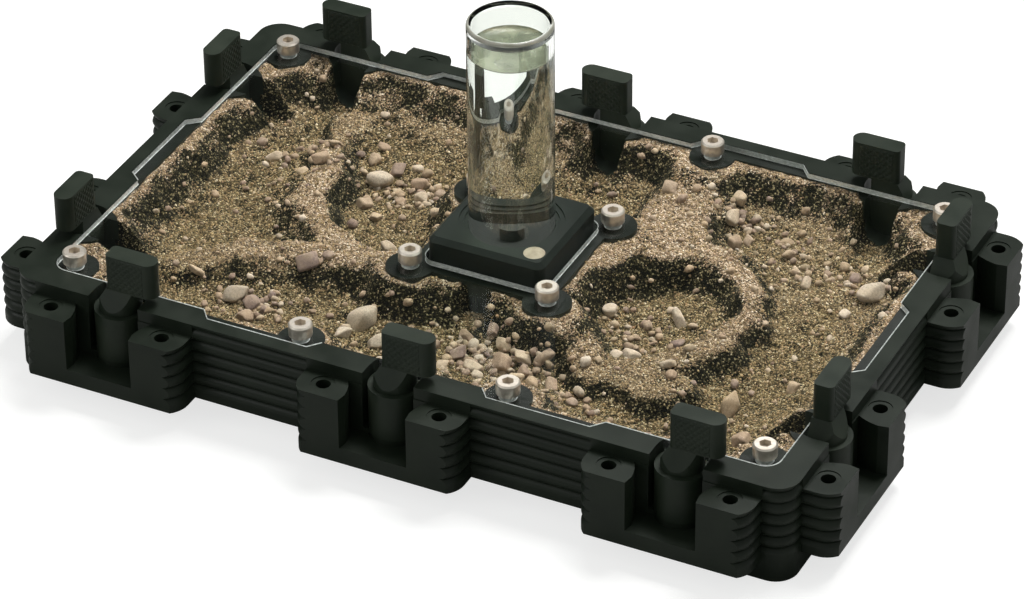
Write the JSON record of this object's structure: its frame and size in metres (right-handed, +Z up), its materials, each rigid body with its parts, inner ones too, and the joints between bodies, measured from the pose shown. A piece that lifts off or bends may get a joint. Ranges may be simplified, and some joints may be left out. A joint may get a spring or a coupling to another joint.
{
  "type": "ant habitat",
  "caption": "Desktop ant nest: ribbed black tray with screwed clear cover, lift-out port plugs, sand landscape and a magnet-held feeder with inverted water vial.",
  "frame": {"origin": "on the ground, under the middle of the habitat", "axes": "+X along the long side, +Z up, -Y towards the long side that faces the viewer"},
  "size_m": [0.21, 0.14, 0.0835],
  "materials": {
    "frame_plastic": "satin, fine moulded grain",
    "plug_plastic": "satin with knurled grip faces",
    "block_plastic": "matte",
    "clear_acrylic": "clear, polished faces and laser-cut edges",
    "sand": "coarse natural sand",
    "pebble_stone": "water-worn pebble",
    "stainless": "bright turned",
    "brass_insert": "turned",
    "nickel": "nickel plated",
    "vial_glass": "clear",
    "water": "clear water",
    "rubber_black": "matte",
    "cotton": "soft felt"
  },
  "bodies": {
    "root": {"tray_frame": "frame_plastic", "cover_plate": "clear_acrylic", "terrain_insert": "sand", "drinking_grille": "frame_plastic", "feeder_pillar": "frame_plastic", "pillar_magnet": "nickel", "wick_pad": "cotton", "corner_screws": "stainless", "side_screws": "stainless", "pillar_screws": "stainless", "rim_inserts": "brass_insert", "pillar_inserts": "brass_insert", "pebbles_centre": "pebble_stone", "pebbles_left": "pebble_stone", "pebbles_front": "pebble_stone", "pebbles_right": "pebble_stone", "pebbles_back": "pebble_stone"},
    "plug_front_left": {"plug_front_left": "plug_plastic"},
    "plug_back_left": {"plug_back_left": "plug_plastic"},
    "plug_front_middle": {"plug_front_middle": "plug_plastic"},
    "plug_back_middle": {"plug_back_middle": "plug_plastic"},
    "plug_front_right": {"plug_front_right": "plug_plastic"},
    "plug_back_right": {"plug_back_right": "plug_plastic"},
    "plug_right_front": {"plug_right_front": "plug_plastic"},
    "plug_left_front": {"plug_left_front": "plug_plastic"},
    "plug_right_back": {"plug_right_back": "plug_plastic"},
    "plug_left_back": {"plug_left_back": "plug_plastic"},
    "feeder": {"feeder_block": "block_plastic", "block_magnet": "nickel"},
    "vial": {"water_vial": "vial_glass", "vial_stopper": "rubber_black", "vial_wick": "cotton", "vial_water": "water"}
  },
  "joints": [
    {"name": "lift_plug_front_left", "type": "slide", "parent": "root", "child": "plug_front_left", "axis": [0, 0, 1], "range_m": [0, 0.016]},
    {"name": "lift_plug_back_left", "type": "slide", "parent": "root", "child": "plug_back_left", "axis": [0, 0, 1], "range_m": [0, 0.016]},
    {"name": "lift_plug_front_middle", "type": "slide", "parent": "root", "child": "plug_front_middle", "axis": [0, 0, 1], "range_m": [0, 0.016]},
    {"name": "lift_plug_back_middle", "type": "slide", "parent": "root", "child": "plug_back_middle", "axis": [0, 0, 1], "range_m": [0, 0.016]},
    {"name": "lift_plug_front_right", "type": "slide", "parent": "root", "child": "plug_front_right", "axis": [0, 0, 1], "range_m": [0, 0.016]},
    {"name": "lift_plug_back_right", "type": "slide", "parent": "root", "child": "plug_back_right", "axis": [0, 0, 1], "range_m": [0, 0.016]},
    {"name": "lift_plug_right_front", "type": "slide", "parent": "root", "child": "plug_right_front", "axis": [0, 0, 1], "range_m": [0, 0.016]},
    {"name": "lift_plug_left_front", "type": "slide", "parent": "root", "child": "plug_left_front", "axis": [0, 0, 1], "range_m": [0, 0.016]},
    {"name": "lift_plug_right_back", "type": "slide", "parent": "root", "child": "plug_right_back", "axis": [0, 0, 1], "range_m": [0, 0.016]},
    {"name": "lift_plug_left_back", "type": "slide", "parent": "root", "child": "plug_left_back", "axis": [0, 0, 1], "range_m": [0, 0.016]},
    {"name": "lift_feeder", "type": "slide", "parent": "root", "child": "feeder", "axis": [0, 0, 1], "range_m": [0, 0.012]},
    {"name": "pull_vial", "type": "slide", "parent": "feeder", "child": "vial", "axis": [0, 0, 1], "range_m": [0, 0.012]}
  ]
}
